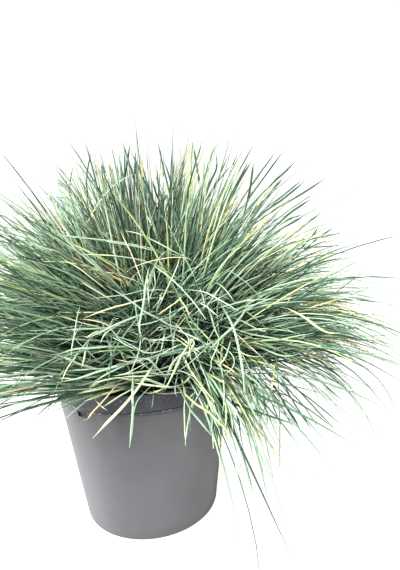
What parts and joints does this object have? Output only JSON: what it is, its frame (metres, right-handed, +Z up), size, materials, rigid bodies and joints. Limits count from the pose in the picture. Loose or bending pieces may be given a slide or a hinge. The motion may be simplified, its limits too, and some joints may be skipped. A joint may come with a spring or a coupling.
{
  "type": "potted blue fescue clump",
  "caption": "Dense tussock of fine blue-green grass leaves, growing in a round tapered nursery pot with a plain collar.",
  "frame": {"origin": "middle of the pot's flat underside", "axes": "+Z up, out of the pot's mouth; -Y to the front, which the picture shows; +X to the viewer's right, where the clump leans"},
  "size_m": [0.3834, 0.3871, 0.2983],
  "materials": {
    "pot_plastic": "matte",
    "compost": "matte",
    "leaf": "satin"
  },
  "bodies": {
    "root": {"pot": "pot_plastic", "compost": "compost", "leaf_tuft_01": "leaf", "leaf_tuft_02": "leaf", "leaf_tuft_03": "leaf", "leaf_tuft_04": "leaf", "leaf_tuft_05": "leaf", "leaf_tuft_06": "leaf", "leaf_tuft_07": "leaf", "leaf_tuft_08": "leaf", "leaf_tuft_09": "leaf", "leaf_tuft_10": "leaf", "leaf_tuft_11": "leaf", "leaf_tuft_12": "leaf", "leaf_tuft_13": "leaf", "leaf_tuft_14": "leaf", "leaf_tuft_15": "leaf", "leaf_tuft_16": "leaf", "leaf_tuft_17": "leaf", "leaf_tuft_18": "leaf", "leaf_tuft_19": "leaf", "leaf_tuft_20": "leaf", "leaf_tuft_21": "leaf", "leaf_tuft_22": "leaf", "leaf_tuft_23": "leaf", "leaf_tuft_24": "leaf", "leaf_tuft_25": "leaf", "leaf_tuft_26": "leaf", "leaf_tuft_27": "leaf", "leaf_tuft_28": "leaf", "leaf_tuft_29": "leaf", "leaf_tuft_30": "leaf", "leaf_tuft_31": "leaf", "leaf_tuft_32": "leaf", "leaf_tuft_33": "leaf", "leaf_tuft_34": "leaf", "leaf_tuft_35": "leaf", "leaf_tuft_36": "leaf", "leaf_tuft_37": "leaf", "leaf_tuft_38": "leaf", "leaf_tuft_39": "leaf", "leaf_tuft_40": "leaf", "leaf_tuft_41": "leaf", "leaf_tuft_42": "leaf", "leaf_tuft_43": "leaf", "leaf_tuft_44": "leaf", "leaf_tuft_45": "leaf", "leaf_tuft_46": "leaf", "leaf_tuft_47": "leaf", "leaf_tuft_48": "leaf", "leaf_tuft_49": "leaf", "leaf_tuft_50": "leaf", "leaf_tuft_51": "leaf"}
  },
  "joints": []
}
